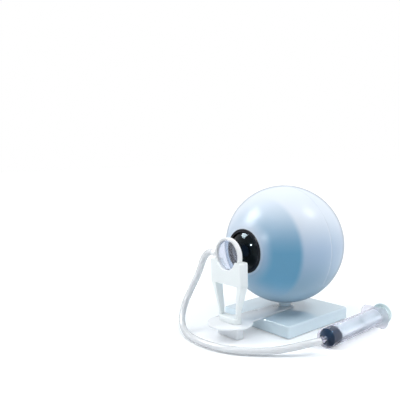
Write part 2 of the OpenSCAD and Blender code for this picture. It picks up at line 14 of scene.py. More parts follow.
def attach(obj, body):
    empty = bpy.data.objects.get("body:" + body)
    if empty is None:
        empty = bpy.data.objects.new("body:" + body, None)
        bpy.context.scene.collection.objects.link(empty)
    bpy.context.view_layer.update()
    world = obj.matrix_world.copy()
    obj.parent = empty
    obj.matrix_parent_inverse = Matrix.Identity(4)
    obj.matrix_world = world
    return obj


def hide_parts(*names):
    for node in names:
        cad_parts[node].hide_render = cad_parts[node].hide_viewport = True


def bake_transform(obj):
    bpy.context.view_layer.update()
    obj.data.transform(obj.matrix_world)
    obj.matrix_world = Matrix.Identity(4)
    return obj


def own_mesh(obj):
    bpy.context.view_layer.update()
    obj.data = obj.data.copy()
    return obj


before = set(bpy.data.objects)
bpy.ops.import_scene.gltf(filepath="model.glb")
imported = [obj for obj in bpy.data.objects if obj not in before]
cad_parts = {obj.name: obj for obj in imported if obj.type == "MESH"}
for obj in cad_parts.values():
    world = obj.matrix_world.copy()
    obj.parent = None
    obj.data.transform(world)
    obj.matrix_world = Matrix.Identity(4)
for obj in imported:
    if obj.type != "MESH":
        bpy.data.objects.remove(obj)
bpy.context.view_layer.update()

LOG = logging.getLogger("eye_model")
MM = 0.001
BALL_Z = 65.5
LENS_Y = -64.0
LENS_Z = 64.5
SYRINGE_AT = (68.6, -34.0, 8.3)
SYRINGE_YAW = 3.0

Profile = Sequence[tuple[float, float]]
Feed = Union[bpy.types.NodeSocket, float, Sequence[float]]

# Where the milky wall's looks change, in metres: heights, distances along Y and a distance from the centre. The
# heights give painted shade towards the bottom, painted light towards the top and the fade of the front zone's painted
# shade. The seam and rim distances place a painted highlight, and the last value is how far the barrel's painted glow
# blends in along Y.
PAINTED_SHADE_HEIGHTS = (0.030, 0.068)
PAINTED_LIGHT_HEIGHTS = (0.062, 0.098)
CHAMBER_REAR = (-0.0238, -0.0286)
CHAMBER_FRONT = (-0.0475, -0.0415)
CHAMBER_SHADE_FADE = (0.110, 0.066)
SEAM = (0.0013, 0.0005)
OPENING_RIM = (-0.0457, -0.0465)
INNER_FACE = (0.0492, 0.0482)
PAINTED_GLOW_BLEND = 0.004


class Body(Enum):
    """The CAD bodies that pieces ride on."""

    ROOT = "root"
    EYEBALL = "eyeball"
    REAR_HALF = "rear_half"
    PLUNGER = "plunger"
    WATER_LENS = "water_lens"


# --------------------------------------------------------------------------- meshes


def optical_axis(distance: float = 0.0) -> Matrix:
    """Frame whose Z axis points forward along the ball's optical axis.

    Args:
        distance: how far in front of the ball's centre it starts, in mm.

    Returns:
        The matrix from that frame to the row frame, in mm.
    """
    return Matrix.Translation((0, -distance, BALL_Z)) @ Matrix.Rotation(math.radians(90), 4, "X")


def lens_axis() -> Matrix:
    """Frame at the water lens's middle whose Z axis points forward.

    Returns:
        The matrix from that frame to the row frame, in mm.
    """
    return Matrix.Translation((0, LENS_Y, LENS_Z)) @ Matrix.Rotation(math.radians(90), 4, "X")


def syringe_axis() -> Matrix:
    """Frame at the barrel's front end whose Z axis points to the thumb plate.

    Returns:
        The matrix from that frame to the row frame, in mm.
    """
    turn = Matrix.Rotation(math.radians(SYRINGE_YAW), 4, "Z") @ Matrix.Rotation(math.radians(-90), 4, "X")
    return Matrix.Translation(SYRINGE_AT) @ turn


@dataclass
class MeshTool:
    """Builds one piece's mesh in mm and turns it into an object in the row frame.

    Args:
        name: the object's name.
        smooth_angle: edges sharper than this many degrees stay sharp.
    """

    name: str
    smooth_angle: float = 32.0
    bm: bmesh.types.BMesh = field(default_factory=bmesh.new)

    def lathe(self, profile: Profile, place: Matrix, steps: int = 96, closed: bool = True) -> None:
        """Spins a profile of (radius, height) points about the local Z axis.

        Args:
            profile: the points, in order round the section.
            place: matrix from the local frame to the row frame, in mm.
            steps: number of facets round the axis.
            closed: whether the last point joins the first.
        """
        bm = self.bm
        verts = [bm.verts.new(place @ Vector((r, 0, z))) for r, z in profile]
        edges = [bm.edges.new((a, b)) for a, b in zip(verts, verts[1:])]
        if closed:
            edges.append(bm.edges.new((verts[-1], verts[0])))
        axis = (place.to_3x3() @ Vector((0, 0, 1))).normalized()
        bmesh.ops.spin(
            bm,
            geom=verts + edges,
            cent=place.translation,
            axis=axis,
            angle=math.tau,
            steps=steps,
            use_merge=True,
            use_duplicate=False,
        )
        bmesh.ops.remove_doubles(bm, verts=bm.verts[:], dist=1e-4)

    def prism(
        self,
        outline: Profile,
        depth: float,
        place: Matrix,
        bevel: float = 0.0,
        segments: int = 3,
        hole: Profile | None = None,
    ) -> None:
        """Extrudes an outline along the local Z axis and rounds its rim edges.

        Args:
            outline: the (x, y) points of the outer loop, in order.
            depth: length of the extrusion.
            place: matrix from the local frame to the row frame, in mm.
            bevel: radius of the rounded rim edges, or 0 for none.
            segments: number of segments of the rounding.
            hole: the points of an inner loop with as many points as the outer one.
        """
        bm = self.bm
        outer = [bm.verts.new(place @ Vector((x, y, 0))) for x, y in outline]
        if hole is None:
            faces = [bm.faces.new(outer)]
        else:
            inner = [bm.verts.new(place @ Vector((x, y, 0))) for x, y in hole]
            loops = [
                [bm.edges.new((a, b)) for a, b in zip(ring, ring[1:] + ring[:1])]
                for ring in (outer, inner)
            ]
            made = bmesh.ops.bridge_loops(bm, edges=loops[0] + loops[1])
            faces = made["faces"]
        grown = bmesh.ops.extrude_face_region(bm, geom=faces, use_keep_orig=True)
        move = place.to_3x3() @ Vector((0, 0, depth))
        top = [v for v in grown["geom"] if isinstance(v, bmesh.types.BMVert)]
        bmesh.ops.translate(bm, verts=top, vec=move)
        bmesh.ops.recalc_face_normals(bm, faces=bm.faces[:])
        if bevel > 0:
            side = (place.to_3x3() @ Vector((0, 0, 1))).normalized()
            rim = [
                e
                for e in bm.edges
                if e.is_manifold
                and len(e.link_faces) == 2
                and any(abs(f.normal.dot(side)) > 0.99 for f in e.link_faces)
                and any(abs(f.normal.dot(side)) < 0.5 for f in e.link_faces)
            ]
            bmesh.ops.bevel(
                bm,
                geom=rim,
                offset=bevel,
                offset_type="OFFSET",
                segments=segments,
                profile=0.5,
                affect="EDGES",
                clamp_overlap=True,
                material=-1,
            )

    def sweep(self, points: Sequence[Vector], radius: float, bore: float, sides: int = 24) -> None:
        """Sweeps a pipe along a smooth line.

        Args:
            points: the centre line's points, in mm.
            radius: outer radius.
            bore: inner radius, or 0 for a solid rod.
            sides: number of sides.
        """
        bm = self.bm
        normal = Vector((0, 0, 1))
        rings: list[list[bmesh.types.BMVert]] = []
        radii = (radius, bore) if bore > 0 else (radius,)
        for i, p in enumerate(points):
            ahead = (points[min(i + 1, len(points) - 1)] - points[max(i - 1, 0)]).normalized()
            normal = (normal - ahead * normal.dot(ahead)).normalized()
            other = ahead.cross(normal)
            for r in radii:
                ring = [
                    bm.verts.new(p + r * (math.cos(a) * normal + math.sin(a) * other))
                    for a in (math.tau * k / sides for k in range(sides))
                ]
                rings.append(ring)
        many = len(radii)

        def strip(a: list[bmesh.types.BMVert], b: list[bmesh.types.BMVert]) -> None:
            for k in range(sides):
                m = (k + 1) % sides
                bm.faces.new((a[k], a[m], b[m], b[k]))

        for i in range(0, len(rings) - many, many):
            for j in range(many):
                strip(rings[i + j], rings[i + many + j])
        if many == 2:
            strip(rings[0], rings[1])
            strip(rings[-2], rings[-1])
        else:
            bm.faces.new(rings[0])
            bm.faces.new(rings[-1])

    def link(self, scale: float = MM) -> bpy.types.Object:
        """Turns the mesh into an object in the scene.

        Args:
            scale: the factor from the mesh's unit to metres.

        Returns:
            The new object, with its origin at the row frame's origin.
        """
        bm = self.bm
        bmesh.ops.recalc_face_normals(bm, faces=bm.faces[:])
        bmesh.ops.scale(bm, vec=(scale, scale, scale), verts=bm.verts[:])
        mesh = bpy.data.meshes.new(self.name)
        bm.to_mesh(mesh)
        bm.free()
        obj = bpy.data.objects.new(self.name, mesh)
        bpy.context.scene.collection.objects.link(obj)
        return obj

    def finish(self, cutter: "MeshTool | None" = None) -> bpy.types.Object:
        """Links the piece, cuts another mesh out of it and sets its smooth shading.

        Args:
            cutter: the mesh to cut out, if any.

        Returns:
            The finished object.
        """
        if cutter is None:
            obj = self.link()
        else:
            obj = self.link(1.0)
            tool = cutter.link(1.0)
            cut = obj.modifiers.new("cut", "BOOLEAN")
            cut.operation, cut.solver, cut.object = "DIFFERENCE", "EXACT", tool
            graph = bpy.context.evaluated_depsgraph_get()
            rough = obj.data
            obj.data = bpy.data.meshes.new_from_object(obj.evaluated_get(graph))
            obj.modifiers.clear()
            for spent in (tool.data, rough):
                bpy.data.meshes.remove(spent)
            obj.data.name = self.name
            obj.data.transform(Matrix.Scale(MM, 4))
        mesh = obj.data
        mesh.polygons.foreach_set("use_smooth", [True] * len(mesh.polygons))
        mesh.set_sharp_from_angle(angle=math.radians(self.smooth_angle))
        return obj


def arc(cx: float, cy: float, r: float, start: float, end: float, steps: int) -> list[tuple[float, float]]:
    """Points of an arc.

    Args:
        cx: centre's first coordinate.
        cy: centre's second coordinate.
        r: radius.
        start: first angle in degrees.
        end: last angle in degrees.
        steps: number of chords.

    Returns:
        The points from start to end, both included.
    """
    angles = (math.radians(start + (end - start) * k / steps) for k in range(steps + 1))
    return [(cx + r * math.cos(a), cy + r * math.sin(a)) for a in angles]


def rounded(points: Profile, radius: float, steps: int = 4) -> list[tuple[float, float]]:
    """Rounds every corner of an outline.

    Args:
        points: the corners in order.
        radius: the rounding's radius, cut short where an edge is too short for it.
        steps: number of chords per corner.

    Returns:
        The new outline's points.
    """
    out: list[tuple[float, float]] = []
    n = len(points)
    for i in range(n):
        p = Vector(points[i])
        a = Vector(points[i - 1]) - p
        b = Vector(points[(i + 1) % n]) - p
        half = a.angle(b) / 2
        if half > math.radians(88):
            out.append(tuple(p))
            continue
        cut = min(radius / math.tan(half), a.length * 0.45, b.length * 0.45)
        r = cut * math.tan(half)
        centre = p + (a.normalized() + b.normalized()).normalized() * (r / math.sin(half))
        first = p + a.normalized() * cut - centre
        last = p + b.normalized() * cut - centre
        turn = first.angle_signed(last)
        for k in range(steps + 1):
            v = Matrix.Rotation(-turn * k / steps, 2) @ first
            out.append((centre.x + v.x, centre.y + v.y))
    return out


def smooth_line(points: Sequence[Sequence[float]], start: Vector, end: Vector, steps: int) -> list[Vector]:
    """A smooth line through points, with set directions at its ends.

    Args:
        points: the points that it passes through.
        start: unit direction at the first point.
        end: unit direction at the last point.
        steps: points per span.

    Returns:
        The line's points.
    """
    route = [Vector(p) for p in points]
    route.insert(0, route[0] - start * (route[1] - route[0]).length)
    route.append(route[-1] + end * (route[-1] - route[-2]).length)
    line: list[Vector] = []
    for p0, p1, p2, p3 in zip(route, route[1:], route[2:], route[3:]):
        for k in range(steps):
            t = k / steps
            line.append(
                0.5
                * (
                    2 * p1
                    + (p2 - p0) * t
                    + (2 * p0 - 5 * p1 + 4 * p2 - p3) * t * t
                    + (3 * p1 - p0 - 3 * p2 + p3) * t**3
                )
            )
    line.append(route[-2])
    return line


# --------------------------------------------------------------------------- finishes


@dataclass(frozen=True)
class Graph:
    """A node tree, with short ways to add the nodes that the looks share.

    Args:
        tree: the node tree of a material, a group or the world.
    """

    tree: bpy.types.NodeTree

    def feed(self, node: bpy.types.Node, feeds: dict[str | int, Feed]) -> None:
        """Links a node's inputs or sets their values.

        Args:
            node: the node.
            feeds: for each input, the socket to link to it or its plain value.
        """
        for label, value in feeds.items():
            if isinstance(value, bpy.types.NodeSocket):
                self.tree.links.new(value, node.inputs[label])
            else:
                node.inputs[label].default_value = value

    def add(self, kind: str, feeds: dict[str | int, Feed] | None = None) -> bpy.types.Node:
        """Adds a node.

        Args:
            kind: the node's type.
            feeds: for each input, the socket to link to it or its plain value.

        Returns:
            The node.
        """
        node = self.tree.nodes.new(kind)
        self.feed(node, feeds or {})
        return node

    def math(self, operation: str, *terms: Feed) -> bpy.types.NodeSocket:
        """Adds a calculation.

        Args:
            operation: what it does with its terms.
            terms: the terms, in order.

        Returns:
            The result's socket.
        """
        node = self.tree.nodes.new("ShaderNodeMath")
        node.operation = operation
        self.feed(node, dict(enumerate(terms)))
        return node.outputs[0]

    def mix(self, factor: Feed, a: Feed, b: Feed) -> bpy.types.NodeSocket:
        """Mixes two colours.

        Args:
            factor: 0 for the first colour and 1 for the second one.
            a: the first colour.
            b: the second colour.

        Returns:
            The mixed colour's socket.
        """
        node = self.tree.nodes.new("ShaderNodeMix")
        node.data_type = "RGBA"
        self.feed(node, {0: factor, 6: a, 7: b})
        return node.outputs[2]

    def ramp(
        self, source: Feed, low: float, high: float, start: float = 0.0, end: float = 1.0, kind: str = "SMOOTHSTEP"
    ) -> bpy.types.NodeSocket:
        """Maps a range of values onto another one, clamped at both ends.

        Args:
            source: the value.
            low: where the result is start.
            high: where the result is end.
            start: the first result.
            end: the last result.
            kind: how it goes from one to the other.

        Returns:
            The result's socket.
        """
        node = self.tree.nodes.new("ShaderNodeMapRange")
        node.interpolation_type = kind
        self.feed(node, {"Value": source, "From Min": low, "From Max": high, "To Min": start, "To Max": end})
        return node.outputs["Result"]

    def slant(self, low: float, high: float, amount: float) -> bpy.types.NodeSocket:
        """A soft step over how far a surface turns away from the viewer.

        Args:
            low: the slant, 0 for face-on and 1 for edge-on, at which the step is 0.
            high: the slant at which it is full.
            amount: its full value.

        Returns:
            The step's socket.
        """
        facing = self.add("ShaderNodeLayerWeight", {"Blend": 0.5})
        return self.ramp(facing.outputs["Facing"], low, high, 0.0, amount)


def new_group(
    name: str, inputs: Iterable[tuple[str, str, object]], outputs: Iterable[tuple[str, str]]
) -> tuple[Graph, bpy.types.Node, bpy.types.Node]:
    """Makes an empty shader group with its sockets.

    Args:
        name: the group's name.
        inputs: (socket name, socket type, default value) of each input.
        outputs: (socket name, socket type) of each output.

    Returns:
        The group's graph, its input node and its output node.
    """
    group = bpy.data.node_groups.new(name, "ShaderNodeTree")
    for label, kind, value in inputs:
        group.interface.new_socket(label, in_out="INPUT", socket_type=kind).default_value = value
    for label, kind in outputs:
        group.interface.new_socket(label, in_out="OUTPUT", socket_type=kind)
    graph = Graph(group)
    return graph, graph.add("NodeGroupInput"), graph.add("NodeGroupOutput")


class Effects:
    """The shader groups that several finishes share, each built once."""

    _made: dict[str, bpy.types.NodeTree] = {}

    @classmethod
    def get(cls, name: str) -> bpy.types.NodeTree:
        """Returns the group of that name, and builds it the first time.

        Args:
            name: one of the names in the table below.

        Returns:
            The node group.
        """
        if name not in cls._made:
            cls._made[name] = {"Moulded surface": cls._moulded, "Milky wall": cls._milky}[name]()
        return cls._made[name]

    @staticmethod
    def _moulded() -> bpy.types.NodeTree:
        """Fine unevenness of moulded plastic: a roughness, a shade and a normal."""
        graph, start, end = new_group(
            "Moulded surface",
            [
                ("Roughness", "NodeSocketFloat", 0.3),
                ("Spread", "NodeSocketFloat", 0.06),
                ("Grain scale", "NodeSocketFloat", 900.0),
                ("Bump", "NodeSocketFloat", 0.05),
            ],
            [("Roughness", "NodeSocketFloat"), ("Shade", "NodeSocketFloat"), ("Normal", "NodeSocketVector")],
        )
        given = start.outputs
        place = graph.add("ShaderNodeTexCoord").outputs["Object"]
        cloud = graph.add("ShaderNodeTexNoise", {"Vector": place, "Scale": 60.0, "Detail": 3.0}).outputs["Fac"]
        grain = graph.add("ShaderNodeTexNoise", {"Vector": place, "Scale": given["Grain scale"]}).outputs["Fac"]
        bump = graph.add("ShaderNodeBump", {"Strength": given["Bump"], "Distance": 0.0001, "Height": grain})
        around = graph.math("SUBTRACT", cloud, 0.5)
        rough = graph.math("MULTIPLY_ADD", around, given["Spread"], given["Roughness"])
        shade = graph.ramp(cloud, 0.2, 0.8, 0.97, 1.0, "LINEAR")
        graph.feed(end, {"Roughness": rough, "Shade": shade, "Normal": bump.outputs["Normal"]})
        return graph.tree

    @staticmethod
    def _milky() -> bpy.types.NodeTree:
        """Colour of the ball's milky wall, with painted light towards the top and painted shade towards the bottom,
        the front cavity showing through with painted shade, a painted highlight on the seam and the rim of the
        opening, and a mask of its inner face.
        """
        graph, start, end = new_group(
            "Milky wall",
            [
                ("Top", "NodeSocketColor", (1, 1, 1, 1)),
                ("Middle", "NodeSocketColor", (0.7, 0.7, 0.7, 1)),
                ("Bottom", "NodeSocketColor", (0.5, 0.5, 0.5, 1)),
                ("Chamber shade", "NodeSocketColor", (0.2, 0.4, 0.6, 1)),
                ("Chamber strength", "NodeSocketFloat", 0.8),
                ("Seam and rim highlight", "NodeSocketFloat", 0.5),
            ],
            [("Color", "NodeSocketColor"), ("Inside", "NodeSocketFloat")],
        )
        given = start.outputs
        place = graph.add("ShaderNodeTexCoord").outputs["Object"]
        split = graph.add("ShaderNodeSeparateXYZ", {"Vector": place})
        ahead, height = split.outputs["Y"], split.outputs["Z"]
        # Painted shade towards the bottom and painted light towards the top, by height.
        low = graph.mix(graph.ramp(height, *PAINTED_SHADE_HEIGHTS), given["Bottom"], given["Middle"])
        wall = graph.mix(graph.ramp(height, *PAINTED_LIGHT_HEIGHTS), low, given["Top"])
        # The zone in front of the plate: the front cavity seen through the wall, with painted shade that fades out
        # towards the top.
        within = graph.math("MULTIPLY", graph.ramp(ahead, *CHAMBER_REAR), graph.ramp(ahead, *CHAMBER_FRONT))
        faded = graph.math("MULTIPLY", within, graph.ramp(height, *CHAMBER_SHADE_FADE, kind="LINEAR"))
        mask = graph.math("MULTIPLY", faded, given["Chamber strength"])
        shown = graph.mix(mask, wall, given["Chamber shade"])
        # Painted highlight along the seam and the rim of the opening, towards the lit top colour.
        seam = graph.ramp(graph.math("ABSOLUTE", ahead), *SEAM)
        edge = graph.math("MAXIMUM", seam, graph.ramp(ahead, *OPENING_RIM))
        lit = graph.math("MULTIPLY", edge, given["Seam and rim highlight"])
        depth = graph.add("ShaderNodeVectorMath", {0: place, 1: (0, 0, BALL_Z * MM)})
        depth.operation = "DISTANCE"
        inside = graph.ramp(depth.outputs["Value"], *INNER_FACE)
        graph.feed(end, {"Color": graph.mix(lit, shown, given["Top"]), "Inside": inside})
        return graph.tree


@dataclass(frozen=True)
class Finish:
    """A procedural plastic, rubber or metal finish.

    Args:
        name: the material's name.
        slot: the record's material slot that it shows; not used.
        color: linear base colour.
        roughness: mean roughness.
        spread: how far the roughness wanders.
        metallic: 1 for metal.
        ior: index of refraction.
        coat: weight of a clear coat.
        subsurface: weight of light that goes in and comes out.
        transmission: weight of clear transmission.
        bump: strength of the fine grain.
        grain: scale of the fine grain.
        emission: strength of a faint glow that stands for light from inside.
        specular: strength of the reflections, 0.5 for the plain amount.
        specular_tint: colour of the reflections seen face-on.
        edge: how much painted shade darkens the colour where the surface is seen edge-on.
        inside: roughness of the faces that light meets from within, or None for the same.
        painted_glow_from: where along Y the painted glow sets in, in metres, or None for everywhere.
    """

    name: str
    slot: str
    color: tuple[float, float, float]
    roughness: float = 0.3
    spread: float = 0.05
    metallic: float = 0.0
    ior: float = 1.49
    coat: float = 0.0
    subsurface: float = 0.0
    transmission: float = 0.0
    bump: float = 0.04
    grain: float = 900.0
    emission: float = 0.0
    specular: float = 0.5
    specular_tint: tuple[float, float, float] = (1.0, 1.0, 1.0)
    edge: float = 0.0
    inside: float | None = None
    painted_glow_from: float | None = None

    def material(self) -> bpy.types.Material:
        """Builds the material, or returns the one that exists.

        Returns:
            The material.
        """
        found = bpy.data.materials.get(self.name)
        if found is not None:
            return found
        made = bpy.data.materials.new(self.name)
        made.use_nodes = True
        graph = Graph(made.node_tree)
        shader = made.node_tree.nodes["Principled BSDF"]
        roughness: Feed = self.roughness
        if self.inside is not None:
            backs = graph.add("ShaderNodeNewGeometry").outputs["Backfacing"]
            roughness = graph.ramp(backs, 0.0, 1.0, self.roughness, self.inside, "LINEAR")
        surface = graph.add("ShaderNodeGroup")
        surface.node_tree = Effects.get("Moulded surface")
        graph.feed(
            surface,
            {"Roughness": roughness, "Spread": self.spread, "Bump": self.bump, "Grain scale": self.grain},
        )
        graph.feed(
            shader,
            {
                "Roughness": surface.outputs["Roughness"],
                "Normal": surface.outputs["Normal"],
                "Metallic": self.metallic,
                "IOR": self.ior,
                "Specular IOR Level": self.specular,
                "Specular Tint": (*self.specular_tint, 1),
                "Coat Weight": self.coat,
                "Coat Roughness": 0.04,
                "Transmission Weight": self.transmission,
                "Subsurface Weight": self.subsurface,
                "Subsurface Radius": (0.004, 0.004, 0.004),
                "Subsurface Scale": 1.0,
                "Emission Color": (*self.color, 1),
                "Emission Strength": self.emission,
            },
        )
        self.colour(graph, shader, surface)
        # Where painted_glow_from is given, the emission is a painted glow that sets in along Y and stands for light
        # scattered in milky plastic.
        if self.painted_glow_from is not None:
            place = graph.add("ShaderNodeTexCoord").outputs["Object"]
            along = graph.add("ShaderNodeSeparateXYZ", {"Vector": place}).outputs["Y"]
            painted_glow = graph.ramp(along, self.painted_glow_from, self.painted_glow_from + PAINTED_GLOW_BLEND, 0.0, self.emission, "LINEAR")
            graph.feed(shader, {"Emission Strength": painted_glow})
        return made

    def colour(self, graph: Graph, shader: bpy.types.Node, surface: bpy.types.Node) -> None:
        """Links the base colour, with painted shade where the surface is seen edge-on.

        Args:
            graph: the material's graph.
            shader: its Principled node.
            surface: its moulded-surface group.
        """
        # dull and full are a random tone; the third colour is painted shade for edge-on faces.
        dull, full, outline_shade = ((*(c * share for c in self.color), 1) for share in (0.9, 1.0, 0.35))
        tone = graph.mix(surface.outputs["Shade"], dull, full)
        graph.feed(shader, {"Base Color": graph.mix(graph.slant(0.35, 0.9, self.edge), tone, outline_shade)})


@dataclass(frozen=True)
class MilkyFinish(Finish):
    """The ball's milky wall, with painted light at the top, painted shade at the bottom and in front of the plate, a
    painted highlight on the seam and rim, a painted sheen at a slant, painted shade at the outline and a painted glow
    on its inner face.

    Args:
        top: linear colour at the top, painted light that stands for the light from above.
        bottom: linear colour at the bottom, painted shade.
        chamber_shade: linear colour of the zone in front of the plate, where the front cavity shows through, with
            painted shade.
        chamber_strength: how much that zone and its painted shade show face-on; they fade out at a slant.
        seam_and_rim_highlight: how much painted highlight lightens the seam and the rim of the opening.
        slant_sheen: how much painted sheen whitens the wall, towards the top colour, where it is seen at a slant.
        painted_inner_light: strength of a painted glow on the inner face that stands for daylight coming through the
            wall.
    """

    # The top colour is painted light and the bottom colour is painted shade.
    top: tuple[float, float, float] = (0.74, 0.80, 0.88)
    bottom: tuple[float, float, float] = (0.22, 0.375, 0.49)
    chamber_shade: tuple[float, float, float] = (0.135, 0.34, 0.51)
    chamber_strength: float = 1.0
    seam_and_rim_highlight: float = 0.35
    slant_sheen: float = 0.22
    painted_inner_light: float = 0.22

    def colour(self, graph: Graph, shader: bpy.types.Node, surface: bpy.types.Node) -> None:
        """Links the base colour from the milky-wall group, with its painted light and shade, and the painted glow on
        the inner face.

        Args:
            graph: the material's graph.
            shader: its Principled node.
            surface: its moulded-surface group, whose shade this finish doesn't use.
        """
        wall = graph.add("ShaderNodeGroup")
        wall.node_tree = Effects.get("Milky wall")
        graph.feed(
            wall,
            {
                "Top": (*self.top, 1),
                "Middle": (*self.color, 1),
                "Bottom": (*self.bottom, 1),
                "Chamber shade": (*self.chamber_shade, 1),
                "Chamber strength": graph.slant(0.8, 0.25, self.chamber_strength),
                "Seam and rim highlight": self.seam_and_rim_highlight,
            },
        )
        # Painted sheen: the wall whitens towards the top colour where it is seen at a slant.
        shown = graph.mix(graph.slant(0.2, 0.6, self.slant_sheen), wall.outputs["Color"], (*self.top, 1))
        # Painted shade where the wall is seen edge-on.
        outline_shade = (*(c * 0.5 for c in self.color), 1)
        shown = graph.mix(graph.slant(0.72, 0.9, self.edge), shown, outline_shade)
        # Painted glow on the inner face, standing for daylight through the wall.
        glow = graph.math("MULTIPLY", wall.outputs["Inside"], self.painted_inner_light)
        graph.feed(shader, {"Base Color": shown, "Emission Strength": glow})


# The edge values paint shade where a surface is seen edge-on.
BASE = Finish("base plastic", "base_plastic", (0.71, 0.84, 0.91), 0.12, 0.04, coat=0.4, edge=0.12)
ARM = Finish("arm plastic", "base_plastic", (0.87, 0.90, 0.93), 0.28, 0.05, subsurface=0.5, edge=0.1)
HOLDER = Finish("fork plastic", "holder_plastic", (0.87, 0.92, 0.92), 0.34, 0.05, subsurface=0.2, edge=0.1)
LENS_RIM = Finish("lens rim plastic", "lens_rim_plastic", (0.95, 0.97, 0.98), 0.2, 0.04, subsurface=0.5, edge=0.12)
MEMBRANE = Finish("membrane", "membrane_clear", (0.83, 0.85, 0.90), 0.05, 0.02, ior=1.12, transmission=0.97, bump=0.01)
WATER = Finish("clear water", "water", (0.96, 0.98, 1.0), 0.0, 0.0, ior=1.05, transmission=1.0, bump=0.0)
TUBE = Finish(
    "soft clear tube", "tube_clear", (0.90, 0.92, 0.94), 0.22, 0.05, ior=1.4, transmission=0.35, bump=0.02, edge=0.5
)
# The barrel's emission is a painted glow behind the seal's place, standing for light scattered in its milky plastic.
BARREL = Finish(
    "barrel plastic",
    "barrel_clear",
    (0.72, 0.71, 0.76),
    0.14,
    0.02,
    ior=1.18,
    transmission=1.0,
    bump=0.0,
    emission=0.06,
    specular_tint=(0.25, 0.6, 1.0),
    inside=0.7,
    painted_glow_from=-0.0215,
)
ROD = Finish("plunger plastic", "plunger_plastic", (0.64, 0.75, 0.76), 0.35, 0.05, subsurface=0.3)
SEAL = Finish("seal rubber", "seal_rubber", (0.004, 0.016, 0.040), 0.38, 0.08, bump=0.1, grain=1500.0, specular=0.0)
# The wall's edge value paints shade at its outline; its colours paint light at the top and shade at the bottom.
SHELL = MilkyFinish(
    "milky ball wall",
    "shell_frosted",
    (0.39, 0.515, 0.67),
    0.3,
    0.03,
    subsurface=0.1,
    bump=0.01,
    specular=0.155,
    edge=0.7,
)
IRIS = Finish("black plastic", "iris_black", (0.001, 0.003, 0.008), 0.16, 0.04, specular=0.25)
CORNEA = Finish(
    "cornea plastic",
    "cornea_clear",
    (0.01, 0.03, 0.06),
    0.08,
    0.02,
    ior=1.26,
    transmission=1.0,
    bump=0.0,
    specular_tint=(0.68, 0.9, 1.0),
)
PLATE = Finish("plate plastic", "plate_plastic", (0.30, 0.42, 0.58), 0.4, 0.05)
EYE_LENS = Finish("inner lens plastic", "eye_lens_clear", (0.97, 0.98, 1.0), 0.03, 0.01, transmission=1.0, bump=0.0)
STEEL = Finish("screw steel", "screw_steel", (0.62, 0.62, 0.64), 0.28, 0.1, metallic=1.0, bump=0.05)


def put(
    tool: MeshTool, finish: Finish, body: Body, *nodes: str, cutter: MeshTool | None = None
) -> bpy.types.Object:
    """Turns a built mesh into a finished piece that stands for CAD nodes.

    Args:
        tool: the piece's mesh.
        finish: its finish.
        body: the CAD body that it rides on.
        nodes: the CAD nodes that it replaces, or none for a detail of another piece.
        cutter: a mesh to cut out of it, if any.

    Returns:
        The piece.
    """
    obj = tool.finish(cutter)
    obj.data.materials.append(finish.material())
    obj.visible_shadow = finish.transmission < 0.9
    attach(obj, body.value)
    if nodes:
        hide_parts(*nodes)
    return obj


# --------------------------------------------------------------------------- sub-assemblies


